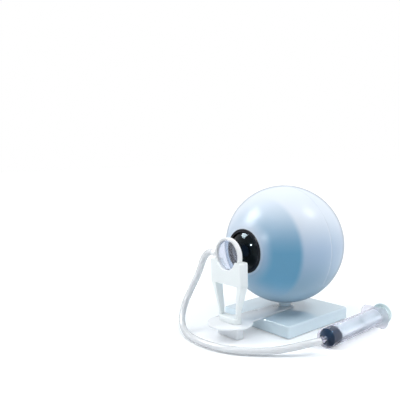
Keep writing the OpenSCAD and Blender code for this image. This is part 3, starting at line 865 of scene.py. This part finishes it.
@dataclass
class Stand:
    """Block, arm, stem and screw.

    Args:
        width: the block's width and depth.
        height: the block's height.
        arm_top: height of the arm's upper face.
        reach: distance of the disc's centre in front of the stem.
    """

    width: float = 75.0
    height: float = 10.0
    arm_top: float = 11.5
    reach: float = 64.0

    def build(self) -> None:
        """Builds the four pieces."""
        self._block()
        self._arm()
        self._stem()
        self._screw()

    def _block(self) -> None:
        """A shell with rounded edges, open beneath, with ribs and a boss."""
        half = self.width / 2
        corners = [(-half, -half), (half, -half), (half, half), (-half, half)]
        tool = MeshTool("block")
        outer = rounded(corners, 2.4, 6)
        tool.prism(outer, self.height, Matrix.Identity(4), bevel=1.2, segments=4)
        bm = tool.bm
        underside = min(bm.faces, key=lambda f: f.calc_center_median().z)
        bmesh.ops.inset_region(bm, faces=[underside], thickness=1.25, depth=0.0)
        bmesh.ops.translate(bm, verts=underside.verts[:], vec=(0, 0, self.height - 2.6))
        put(tool, BASE, Body.ROOT, "base_block")
        ribs = MeshTool("block_ribs")
        for turn in (0, 90, 180, 270):
            spin = Matrix.Rotation(math.radians(turn), 4, "Z") @ Matrix.Translation((0, 0, 0.6))
            ribs.prism([(8.3, -0.7), (36.5, -0.7), (36.5, 0.7), (8.3, 0.7)], 7.0, spin)
        boss = [(3.3, 0.6), (3.3, 3.4), (4.05, 5.0), (4.05, 7.6), (9, 7.6), (9, 1.0), (8.6, 0.6)]
        ribs.lathe(boss, Matrix.Identity(4))
        put(ribs, BASE, Body.ROOT)

    def _arm(self) -> None:
        """The paddle with its eye, disc and foot."""
        tool = MeshTool("arm")
        eye, neck, disc, lap = 7.5, 10.6, 18.2, 0.6
        join = -self.reach + math.sqrt(disc**2 - neck**2)
        tuck = math.degrees(math.asin(lap / eye))
        spread = math.degrees(math.acos(neck / disc))
        flare = [(eye + (neck - eye) * t, -lap + (join + lap) * t) for t in (0.25, 0.5, 0.75)]
        outline = arc(0, 0, eye, -tuck, 180 + tuck, 32) + [(-x, y) for x, y in flare]
        outline += arc(0, -self.reach, disc, 180 - spread, 360 + spread, 72) + flare[::-1]
        place = Matrix.Translation((0, 0, self.height))
        tool.prism(outline, self.arm_top - self.height, place, bevel=0.25, segments=2)
        foot = rounded([(-11.5, -3.7), (11.5, -3.7), (11.5, 3.7), (-11.5, 3.7)], 1.0)
        tool.prism(foot, self.height - 0.02, Matrix.Translation((0, -self.reach, 0)), bevel=0.35)
        put(tool, ARM, Body.ROOT, "arm")

    def _stem(self) -> None:
        """The pillar under the ball."""
        tool = MeshTool("stem")
        foot = self.arm_top
        section = [(0, 5.0), (4, 5.0), (4, foot), (4.8, foot), (5, foot + 0.2), (5, 18.8), (4.8, 19.0), (4, 19.0)]
        section += [(4, 28.0), (3.2, 28.8), (0, 28.8)]
        tool.lathe(section, Matrix.Identity(4), closed=False)
        put(tool, BASE, Body.EYEBALL, "stem")

    def _screw(self) -> None:
        """The screw beneath, with a cross recess."""
        tool = MeshTool("screw")
        section = [(0, 1.3), (2.4, 1.3), (2.8, 1.5), (3.0, 1.9), (3.0, 3.3), (1.5, 3.3), (1.5, 12.9), (0, 13.3)]
        tool.lathe(section, Matrix.Identity(4), steps=48, closed=False)
        cross = MeshTool("screw_recess")
        arm = [Vector(p) for p in ((1.7, -0.4), (1.7, 0.4), (0.4, 0.4))]
        turns = [Matrix.Rotation(math.radians(turn), 2) for turn in (0, 90, 180, 270)]
        plus = [(turn @ p)[:] for turn in turns for p in arm]
        cross.prism(plus, 1.4, Matrix.Translation((0, 0, 1.0)))
        put(tool, STEEL, Body.EYEBALL, "stem_screw", cutter=cross)


@dataclass
class Fork:
    """The lens holder.

    Args:
        base_z: height of the arm's upper face, on which it stands.
        window_z: height at which the legs join.
        tip_z: height of the prong tips.
    """

    base_z: float = 11.5
    window_z: float = 42.0
    tip_z: float = 60.6

    def build(self) -> None:
        """Builds the fork from rings of sections that follow its taper."""
        tool = MeshTool("fork")
        base = rounded([(-11, -4), (11, -4), (11, 4), (-11, 4)], 3.9, 8)
        top = self.base_z + 4.5
        tool.prism(base, 4.5, Matrix.Translation((0, LENS_Y, self.base_z)), bevel=0.5)
        for side in (-1, 1):
            self._leg(tool, side, top - 0.3)
        self._cradle(tool)
        put(tool, HOLDER, Body.ROOT, "lens_holder")

    def _leg(self, tool: MeshTool, side: int, start: float) -> None:
        """One leg, lofted between sections.

        Args:
            tool: the mesh to add to.
            side: -1 for the left leg and 1 for the right one.
            start: height at which it leaves the base.
        """
        bm = tool.bm
        sections = [  # height, inner and outer distance from the middle, half depth
            (start, 8.3, 10.8, 1.8),
            (22.0, 8.9, 11.3, 2.25),
            (30.0, 10.35, 13.6, 2.95),
            (self.window_z, 12.5, 17.0, 4.0),
            (self.window_z + 0.6, 12.5, 17.0, 4.0),
        ]
        rings = []
        for z, inner, outer, deep in sections:
            loop = rounded([(inner, -deep), (outer, -deep), (outer, deep), (inner, deep)], 0.35, 3)
            rings.append([bm.verts.new((side * x, LENS_Y + y, z)) for x, y in loop])
        for a, b in zip(rings, rings[1:]):
            n = len(a)
            for k in range(n):
                bm.faces.new((a[k], a[(k + 1) % n], b[(k + 1) % n], b[k]))
        bm.faces.new(rings[0])
        bm.faces.new(rings[-1])

    def _cradle(self, tool: MeshTool) -> None:
        """The cradle: two cheeks and the floor of the groove between them."""
        half, corner = 17.0, 1.2
        side = self.tip_z - corner
        for radius, near, far in ((11.5, -4.0, -2.1), (14.05, -2.11, 2.11), (11.5, 2.1, 4.0)):
            rise = math.degrees(math.asin((self.tip_z - LENS_Z) / radius))
            outline = [(-half, self.window_z), (half, self.window_z), (half, side)]
            outline += arc(half - corner, side, corner, 0, 90, 5)
            outline += arc(0, LENS_Z, radius, 360 + rise, 180 - rise, 48)
            outline += arc(corner - half, side, corner, 90, 180, 5)
            place = Matrix.Translation((0, LENS_Y - near, 0)) @ Matrix.Rotation(math.radians(90), 4, "X")
            tool.prism(outline, far - near, place, bevel=0.18, segments=2)


@dataclass
class WaterLens:
    """The water lens with its rim, films and water.

    Args:
        radius: outer radius of the rim.
        opening: radius of the clear opening.
        dome: height of each film's dome at rest.
        seat: distance of each film's edge from the lens's middle.
    """

    radius: float = 14.0
    opening: float = 12.0
    dome: float = 2.4
    seat: float = 1.2

    def build(self) -> None:
        """Builds the rim, the clamp rings, the films and the water."""
        place = lens_axis()
        self._rim(place)
        for sign, name in ((1, "front"), (-1, "rear")):
            turn = place if sign > 0 else place @ Matrix.Rotation(math.pi, 4, "X")
            ring = MeshTool(f"{name}_clamp")
            section = [(12.2, self.seat), (13.17, self.seat), (13.17, 1.85), (13.02, 2.0), (12.35, 2.0), (12.2, 1.85)]
            ring.lathe(section, turn)
            put(ring, LENS_RIM, Body.WATER_LENS, f"{name}_clamp_ring")
            film = MeshTool(f"{name}_film", smooth_angle=60)
            film.lathe(self._film(0.0) + self._film(-0.3)[::-1], turn, steps=96)
            piece = put(film, MEMBRANE, Body.WATER_LENS, f"{name}_membrane")
            self._flatten(piece)
        water = MeshTool("water", smooth_angle=60)
        half = [(r, z) for r, z in self._film(-0.34) if r < 11.6]
        water.lathe(half + [(r, -z) for r, z in half[::-1]], place, steps=96, closed=False)
        self._flatten(put(water, WATER, Body.WATER_LENS, "lens_water"))

    def _film(self, lift: float) -> list[tuple[float, float]]:
        """Section of a film's face from its top to its edge.

        Args:
            lift: distance of the face from the film's outer face.

        Returns:
            The points (radius, height).
        """
        big = (self.opening**2 + self.dome**2) / (2 * self.dome)
        centre = self.seat + self.dome - big
        r, foot = big + lift, self.seat + lift
        edge = math.degrees(math.acos((foot - centre) / r))
        points = [(x, centre + y) for y, x in arc(0, 0, r, 0, edge, 20)]
        return points + [(13.1, foot)]

    def _flatten(self, piece: bpy.types.Object) -> None:
        """Gives a film or the water its own copy of its mesh.

        Args:
            piece: the film or the water.
        """
        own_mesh(piece)

    def _rim(self, place: Matrix) -> None:
        """The rim with its seats and the nipple for the tube.

        Args:
            place: frame of the lens.
        """
        tool = MeshTool("lens_rim")
        half = [(self.opening, 0.9), (13.2, 0.9), (13.2, 2.0), (self.radius - 0.4, 2.0), (self.radius, 1.6)]
        tool.lathe([(r, -z) for r, z in half] + half[::-1], place, steps=128)
        across = Matrix.Translation((-19, LENS_Y, LENS_Z)) @ Matrix.Rotation(math.radians(90), 4, "Y")
        nipple = [(0.75, 0), (2.35, 0), (2.6, 0.25), (2.6, 4.3), (2.0, 4.6), (1.9, 5.05), (0.75, 5.05)]
        tool.lathe(nipple, across, steps=40)
        put(tool, LENS_RIM, Body.WATER_LENS, "lens_body_ring")


@dataclass
class Tube:
    """The clear tube from the lens to the syringe.

    Args:
        radius: its outer radius.
        bore: its inner radius.
        route: points that its centre line passes through.
    """

    radius: float = 2.6
    bore: float = 1.5
    route: tuple[tuple[float, float, float], ...] = (
        (-22.5, -64, 64.2),
        (-26, -64, 62.7),
        (-29, -64.5, 59.8),
        (-31, -65.3, 55.5),
        (-32.5, -66.3, 50.5),
        (-34.5, -68, 44),
        (-37.5, -70.2, 36.5),
        (-40, -73, 29),
        (-41, -77, 21),
        (-39.5, -81, 14),
        (-35.5, -85, 8.5),
        (-29, -88.5, 4.8),
        (-20.5, -91.5, 3),
        (-10, -93.5, 2.7),
        (2, -94, 2.7),
        (14, -92.5, 2.7),
        (25.5, -88.5, 2.7),
        (36, -82, 2.7),
        (45, -74, 2.9),
        (52, -66.5, 3.8),
        (58, -60, 5.3),
        (63, -53.8, 6.9),
        (66.7, -47, 8),
    )

    def build(self) -> None:
        turn = math.radians(SYRINGE_YAW)
        back = Vector((-math.sin(turn), math.cos(turn), 0))
        end = Vector(SYRINGE_AT) - back * 6.0
        points = [(-19.0, LENS_Y, LENS_Z), *self.route, tuple(end)]
        line = smooth_line(points, Vector((-1, 0, 0)), back, 5)
        tool = MeshTool("soft_tube", smooth_angle=60)
        tool.sweep(line, self.radius, self.bore)
        obj = tool.finish()
        obj.data.materials.append(TUBE.material())
        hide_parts("tube")
        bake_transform(obj)


@dataclass
class Syringe:
    """Barrel, plunger rod and seal.

    Args:
        length: length of the barrel.
        rod_end: distance of the thumb plate's outer face from the barrel's front.
    """

    length: float = 70.0
    rod_end: float = 82.0

    def build(self) -> None:
        """Builds the three pieces."""
        place = syringe_axis()
        self._barrel(place)
        self._seal(place)
        self._rod(place)

    def _barrel(self, place: Matrix) -> None:
        """The barrel with its nozzle and finger flange.

        Args:
            place: frame of the syringe.
        """
        end, bore, outer, flange, thick = self.length, 6.3, 7.1, 12.0, 1.6
        tool = MeshTool("barrel")
        section = [(1.0, -6.0), (2.15, -6.0), (2.3, -5.8), (2.6, 0.0), (bore, 0.0), (6.85, 0.25), (outer, 0.8)]
        section += [(outer, end - thick), (outer, end), (6.9, end), (bore, end - 0.6), (bore, 3.4)]
        section += [(2.2, 1.2), (1.0, 1.2)]
        tool.lathe(section, place, steps=96)
        wide = math.degrees(math.asin(8.3 / flange))
        outline = arc(0, 0, flange, -wide, wide, 12) + arc(0, 0, flange, 180 - wide, 180 + wide, 12)
        hole = [(6.95 * math.cos(a), 6.95 * math.sin(a)) for a in (math.atan2(y, x) for x, y in outline)]
        rear = place @ Matrix.Translation((0, 0, end - thick))
        tool.prism(outline, thick, rear, bevel=0.3, segments=2, hole=hole)
        put(tool, BARREL, Body.ROOT, "syringe_barrel")

    def _seal(self, place: Matrix) -> None:
        """The rubber seal with its cone and two ribs.

        Args:
            place: frame of the syringe.
        """
        tool = MeshTool("seal")
        section = [(0, 1.35), (1.8, 1.35), (5.5, 3.3), (5.75, 3.6)]
        section += [(6.1, 3.9), (6.25, 4.3), (6.25, 5.2), (6.1, 5.6), (5.7, 5.9), (5.55, 6.3), (5.55, 10.2)]
        section += [(5.7, 10.6), (6.1, 10.9), (6.25, 11.3), (6.25, 12.1), (6.1, 12.5), (5.7, 12.8), (5.6, 12.95)]
        section += [(3.03, 12.95), (3.03, 7.0), (0, 7.0)]
        tool.lathe(section, place, steps=96, closed=False)
        put(tool, SEAL, Body.PLUNGER, "piston_seal")

    def _rod(self, place: Matrix) -> None:
        """The cross-ribbed rod with its discs and thumb plate.

        Args:
            place: frame of the syringe.
        """
        end = self.rod_end
        tool = MeshTool("rod")
        tool.lathe([(0, 7.0), (2.7, 7.0), (3.0, 7.3), (3.0, 13.0), (0, 13.0)], place, steps=48, closed=False)
        for low in (13.0, 47.0):
            disc = [(0, low), (5.6, low), (5.8, low + 0.2), (5.8, low + 1.0), (5.6, low + 1.2), (0, low + 1.2)]
            tool.lathe(disc, place, steps=64, closed=False)
        for turn in (0, 90):
            spin = place @ Matrix.Rotation(math.radians(turn), 4, "Z") @ Matrix.Translation((0, 0, 13.1))
            tool.prism([(-5.8, -0.65), (5.8, -0.65), (5.8, 0.65), (-5.8, 0.65)], end - 15.0, spin)
        plate = [(0, end - 3.0), (3.2, end - 3.0), (5.5, end - 1.7), (8.0, end - 1.6), (8.3, end - 1.3)]
        plate += [(8.3, end - 0.4), (7.9, end), (6.6, end - 0.1), (0, end - 0.4)]
        tool.lathe(plate, place, steps=96, closed=False)
        put(tool, ROD, Body.PLUNGER, "plunger_rod")


@dataclass
class Eyeball:
    """The ball's cap, band and rear half, the bezel, iris and cornea, and the inner lens with its plate.

    Args:
        radius: outer radius of the ball.
        inner: inner radius of its wall.
        opening: radius of the opening for the bezel.
        joint: distance of the joint between cap and band in front of the centre.
        plate: radius of the plate between them.
        thick: the plate's thickness.
        gap: the play round the plate.
    """

    radius: float = 50.0
    inner: float = 47.8
    opening: float = 16.2
    joint: float = 23.8
    plate: float = 41.9
    thick: float = 1.6
    gap: float = 0.03

    def build(self) -> None:
        """Builds every piece of the ball."""
        self._cap()
        self._band()
        self._rear_half()
        self._bezel()
        self._cornea()
        self._inner_lens()

    @staticmethod
    def _wall(radius: float, low: float, high: float, steps: int) -> list[tuple[float, float]]:
        """Section of a sphere's face between two distances in front of its centre.

        Args:
            radius: the sphere's radius.
            low: the first distance.
            high: the last distance.
            steps: number of chords.

        Returns:
            The points (distance from the axis, distance in front of the centre).
        """
        start, end = (math.degrees(math.asin(v / radius)) for v in (low, high))
        return arc(0, 0, radius, start, end, steps)

    @staticmethod
    def _stem_hole() -> MeshTool:
        """The hole that the stem goes through, from below.

        Returns:
            The mesh to cut out.
        """
        hole = MeshTool("stem_hole")
        hole.lathe([(0, 5.0), (5.2, 5.0), (5.2, 19.0), (0, 19.0)], Matrix.Identity(4), closed=False)
        return hole

    def _cap(self) -> None:
        """The front of the ball, with the rebate for the plate."""
        tool = MeshTool("ball_cap", smooth_angle=40)
        top = math.sqrt(self.radius**2 - self.opening**2)
        top_in = math.sqrt(self.inner**2 - self.opening**2)
        rebate, low, high = self.plate + self.gap, self.joint + self.gap, self.joint + self.thick
        section = self._wall(self.radius, low, top, 48)
        section += self._wall(self.inner, high, top_in, 40)[::-1]
        section += [(rebate, high), (rebate, low)]
        tool.lathe(section, optical_axis(), steps=160)
        put(tool, SHELL, Body.EYEBALL, "front_cap")

    def _band(self) -> None:
        """The rest of the front half, with its lip and the boss for the stem."""
        outer, lip = self.radius, self.inner - 0.3
        tool = MeshTool("ball_band", smooth_angle=40)
        section = self._wall(outer, 0.5, self.joint, 28)
        section = [(outer - 0.5, 0.0), (outer - 0.2, 0.06)] + section
        section += self._wall(self.inner, 3.4, self.joint, 22)[::-1]
        section += [(lip - 1.3, 2.9), (lip - 1.3, -2.8), (lip - 1.1, -3.0), (lip - 0.5, -3.0), (lip, -2.4), (lip, 0.0)]
        tool.lathe(section, optical_axis(), steps=160)
        put(tool, SHELL, Body.EYEBALL, "front_band", cutter=self._stem_hole())
        boss = MeshTool("ball_boss")
        section = [(4.03, 19.0), (6.5, 19.0), (6.5, 30.6), (6.1, 31.0), (0, 31.0), (0, 29.0), (4.03, 29.0)]
        boss.lathe(section, Matrix.Identity(4), steps=64, closed=False)
        web = [(-20.0, 22.5), (-6.0, 27.5), (-5.6, 27.5), (-5.6, 19.0), (-13.0, 19.5), (-19.0, 21.7)]
        side = Matrix.Translation((-1, 0, 0)) @ Matrix(((0, 0, 1, 0), (1, 0, 0, 0), (0, 1, 0, 0), (0, 0, 0, 1)))
        boss.prism(web, 2.0, side, bevel=0.25, segments=2)
        put(boss, SHELL, Body.EYEBALL)

    def _rear_half(self) -> None:
        """The rear half."""
        outer = self.radius
        tool = MeshTool("ball_rear_half", smooth_angle=40)
        section = [(0.0, -outer)] + self._wall(outer, -outer, -0.5, 64)[1:]
        section += [(outer - 0.2, -0.06), (outer - 0.5, 0.0)]
        section += self._wall(self.inner, -self.inner, 0.0, 60)[:0:-1] + [(0.0, -self.inner)]
        tool.lathe(section, optical_axis(), steps=160, closed=False)
        put(tool, SHELL, Body.REAR_HALF, "rear_shell", cutter=self._stem_hole())

    def _bezel(self) -> None:
        """The black ring and the iris disc behind the cornea."""
        place = optical_axis()
        tool = MeshTool("bezel")
        section = [(13.0, 42.9), (16.1, 42.9), (16.1, 47.35), (17.9, 46.72), (17.9, 47.8), (17.7, 48.2), (17.2, 48.4)]
        section += [(15.75, 48.4), (15.55, 48.2), (15.55, 46.5), (14.85, 46.5), (14.85, 45.5), (13.0, 45.5)]
        tool.lathe(section, place, steps=128)
        put(tool, IRIS, Body.EYEBALL, "iris_bezel")
        disc = MeshTool("iris")
        disc.lathe([(4.5, 45.5), (14.8, 45.5), (14.8, 46.47), (4.8, 46.47), (4.5, 46.2)], place, steps=128)
        put(disc, IRIS, Body.EYEBALL, "iris_disc")

    def _cornea(self) -> None:
        """The dome over the iris."""
        tool = MeshTool("cornea_dome", smooth_angle=40)
        curve, thick = 24.5, 1.0
        centre = 52.6 - curve
        rim, rim_in = (
            math.degrees(math.acos((low - centre) / r)) for low, r in ((47.5, curve), (46.5, curve - thick))
        )
        section = [(x, centre + y) for y, x in arc(0, 0, curve, 0, rim, 32)]
        section += [(15.3, 47.5), (15.5, 47.3), (15.5, 46.5)]
        section += [(x, centre + y) for y, x in arc(0, 0, curve - thick, rim_in, 0, 32)]
        tool.lathe(section, optical_axis(), steps=128, closed=False)
        put(tool, CORNEA, Body.EYEBALL, "cornea")

    def _inner_lens(self) -> None:
        """The plate, the lens in it and the retaining ring."""
        place, at = optical_axis(), self.joint
        plate = MeshTool("plate")
        low, high, edge = at + self.gap, at + self.thick - self.gap, self.plate
        section = [(14, low), (edge - 0.2, low), (edge, at + 0.2), (edge, at + 1.4), (edge - 0.2, high), (14, high)]
        plate.lathe(section, place, steps=128)
        put(plate, PLATE, Body.EYEBALL, "lens_plate")
        lens = MeshTool("inner_lens", smooth_angle=50)
        clear, bulge, waist = 13.6, 3.5, 2.0
        big = (clear**2 + bulge**2) / (2 * bulge)
        rim = math.degrees(math.asin(clear / big))
        front = [(x, at + bulge - big + y) for y, x in arc(0, 0, big, 0, rim, 20)]
        rear = [(x, at - waist - bulge + big - y) for y, x in arc(0, 0, big, rim, 0, 20)]
        lens.lathe(front + [(15, at), (15, at - waist)] + rear, place, steps=96, closed=False)
        put(lens, EYE_LENS, Body.EYEBALL, "eye_lens")
        ring = MeshTool("retainer")
        section = [(13.9, at - 2.03), (13.9, at - 3.23), (17.4, at - 3.23), (18, at - 2.63), (18, at)]
        ring.lathe(section + [(15.03, at), (15.03, at - 2.03)], place, steps=96)
        put(ring, PLATE, Body.EYEBALL, "lens_retainer")


# --------------------------------------------------------------------------- studio


@dataclass(frozen=True)
class Softbox:
    """An area light that shines at the object.

    Args:
        name: the light's name.
        azimuth: direction that it stands in, 0 in front and 90 to the right, in degrees.
        elevation: its height above the horizon, in degrees.
        distance: its distance in metres.
        size: its width and height in metres.
        power: its power in watts.
        sheen: whether it only shows as a reflection and casts no light of its own.
    """

    name: str
    azimuth: float
    elevation: float
    distance: float
    size: tuple[float, float]
    power: float
    sheen: bool = False

    def build(self) -> None:
        """Adds the light to the scene."""
        data = bpy.data.lights.new(self.name, "AREA")
        data.shape = "RECTANGLE"
        data.size, data.size_y = self.size
        data.energy = self.power
        obj = bpy.data.objects.new(self.name, data)
        a, e = math.radians(self.azimuth), math.radians(self.elevation)
        aim = Vector((0.0, -0.02, 0.05))
        way = Vector((math.sin(a) * math.cos(e), -math.cos(a) * math.cos(e), math.sin(e)))
        obj.location = aim + way * self.distance
        obj.rotation_euler = way.to_track_quat("Z", "Y").to_euler()
        obj.visible_diffuse = obj.visible_transmission = not self.sheen
        bpy.context.scene.collection.objects.link(obj)


def sight(graph: Graph) -> bpy.types.NodeSocket:
    """A mask of the rays that see the background: camera, glossy and transmission rays.

    Args:
        graph: the graph to add to.

    Returns:
        The mask's socket, 1 for those rays and 0 for the rays that only carry light.
    """
    path = graph.add("ShaderNodeLightPath")
    mask = path.outputs["Is Camera Ray"]
    for kind in ("Is Glossy Ray", "Is Transmission Ray"):
        mask = graph.math("MAXIMUM", mask, path.outputs[kind])
    return mask


@dataclass
class Studio:
    """Floor, lights, surroundings and camera.

    Args:
        lights: the softboxes.
        location: the camera's place in mm.
        yaw: its azimuth, in degrees.
        pitch: its elevation, in degrees.
        roll: its roll, in degrees.
        lens: its focal length for a 36 mm sensor.
        floor_glow: how much the camera sees the floor glow under the object.
        surround: strength of the light from all round.
    """

    lights: tuple[Softbox, ...] = (
        Softbox("key", -49, 43.5, 0.76, (0.3, 0.3), 2.0),
        Softbox("key sheen", -47, 43.5, 0.75, (0.3, 0.3), 8.4, sheen=True),
        Softbox("side", 127.7, 50.8, 0.76, (0.2, 0.2), 1.9),
        Softbox("side sheen", 127.7, 50.8, 0.75, (0.2, 0.2), 1.1, sheen=True),
        Softbox("small sheen", 5.8, 19.8, 0.936, (0.09, 0.09), 3.6, sheen=True),
        Softbox("overhead", 20, 85, 0.9, (0.9, 0.9), 2.5),
    )
    location: tuple[float, float, float] = (291.13, -323.09, 142.08)
    yaw: float = 51.43
    pitch: float = 4.92
    roll: float = -1.65
    lens: float = 45.384
    floor_glow: float = 0.14
    surround: float = 0.56

    def build(self) -> None:
        """Builds the studio."""
        for light in self.lights:
            light.build()
        self._floor()
        self._world()
        self._camera()

    def _floor(self) -> None:
        """A large pale floor that shows white to the camera, with soft shadows."""
        bm = bmesh.new()
        bmesh.ops.create_grid(bm, x_segments=2, y_segments=2, size=6.0)
        mesh = bpy.data.meshes.new("floor")
        bm.to_mesh(mesh)
        bm.free()
        floor = bpy.data.objects.new("floor", mesh)
        bpy.context.scene.collection.objects.link(floor)
        floor.location.z = -0.0004
        made = bpy.data.materials.new("floor")
        made.use_nodes = True
        graph, nodes = Graph(made.node_tree), made.node_tree.nodes
        seen = sight(graph)
        away = graph.add("ShaderNodeVectorMath", {0: graph.add("ShaderNodeTexCoord").outputs["Object"]})
        away.operation = "LENGTH"
        fade = graph.ramp(away.outputs["Value"], 0.10, 0.55)
        tint = graph.mix(graph.math("MULTIPLY", seen, fade), (0.9, 0.92, 0.94, 1), (0, 0, 0, 1))
        shader = nodes["Principled BSDF"]
        graph.feed(shader, {"Base Color": tint, "Roughness": 0.55, "Specular IOR Level": 0.2})
        shine = graph.ramp(fade, 0.0, 1.0, self.floor_glow, 1.0, "LINEAR")
        glow = graph.add("ShaderNodeEmission", {"Strength": graph.math("MULTIPLY", seen, shine)})
        both = graph.add("ShaderNodeAddShader", {0: shader.outputs[0], 1: glow.outputs[0]})
        graph.feed(nodes["Material Output"], {"Surface": both.outputs[0]})
        mesh.materials.append(made)

    def _world(self) -> None:
        """White surroundings for the camera, softer ones for the light."""
        world = bpy.data.worlds.new("studio")
        bpy.context.scene.world = world
        world.use_nodes = True
        graph = Graph(world.node_tree)
        seen = sight(graph)
        strength = graph.add("ShaderNodeMix", {0: seen, 2: self.surround, 3: 1.0}).outputs[0]
        tint = graph.mix(seen, (0.92, 0.96, 1.0, 1), (1, 1, 1, 1))
        graph.feed(world.node_tree.nodes["Background"], {"Color": tint, "Strength": strength})

    def _camera(self) -> None:
        """The camera at the photograph's angle."""
        a, e, r = (math.radians(v) for v in (self.yaw, self.pitch, self.roll))
        back = Vector((math.sin(a) * math.cos(e), -math.cos(a) * math.cos(e), math.sin(e)))
        right = Vector((math.cos(a), math.sin(a), 0))
        up = back.cross(right)
        right_r = math.cos(r) * right + math.sin(r) * up
        up_r = -math.sin(r) * right + math.cos(r) * up
        data = bpy.data.cameras.new("camera")
        data.lens = self.lens
        data.sensor_width = 36.0
        data.clip_start = 0.01
        camera = bpy.data.objects.new("camera", data)
        turn = Matrix((right_r, up_r, back)).transposed().to_4x4()
        camera.matrix_world = Matrix.Translation(Vector(self.location) * MM) @ turn
        bpy.context.scene.collection.objects.link(camera)
        bpy.context.scene.camera = camera
        bpy.context.scene.view_settings.view_transform = "Standard"


def main() -> None:
    """Builds the model's looks, sub-assembly by sub-assembly, and then the studio."""
    logging.basicConfig(level=logging.INFO, format="%(message)s")
    steps: tuple[tuple[str, Callable[[], None]], ...] = (
        ("stand", Stand().build),
        ("fork", Fork().build),
        ("water lens", WaterLens().build),
        ("tube", Tube().build),
        ("syringe", Syringe().build),
        ("eyeball", Eyeball().build),
        ("studio", Studio().build),
    )
    for name, build in steps:
        LOG.info("building %s", name)
        build()


if __name__ == "__main__":
    main()
